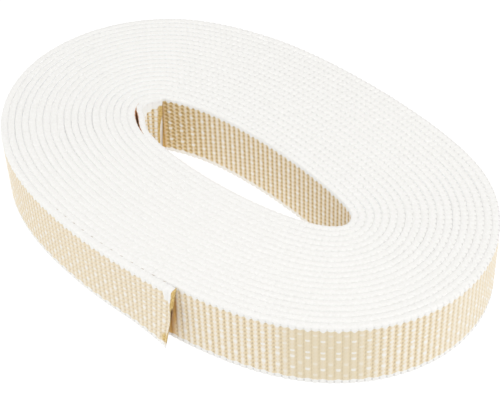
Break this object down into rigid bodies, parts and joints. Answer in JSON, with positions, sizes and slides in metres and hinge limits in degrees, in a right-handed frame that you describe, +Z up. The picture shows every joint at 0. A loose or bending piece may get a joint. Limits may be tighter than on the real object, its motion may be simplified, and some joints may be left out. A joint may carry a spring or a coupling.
{
  "type": "roll of roller shutter strap",
  "caption": "Length of narrow woven strap for a roller shutter, wound flat on itself into an oval roll with an open hollow and a loose outer end.",
  "frame": {"origin": "under the middle of the roll's box, on the surface that the roll lies on", "axes": "+X along the roll's longest side, +Y across it, +Z up through the strap's width"},
  "size_m": [0.108, 0.0696, 0.014],
  "materials": {
    "woven_strap": "matt ribbed weave, beige and white across the face, with plain white selvages"
  },
  "bodies": {
    "root": {"wound_strap": "woven_strap"}
  },
  "joints": []
}
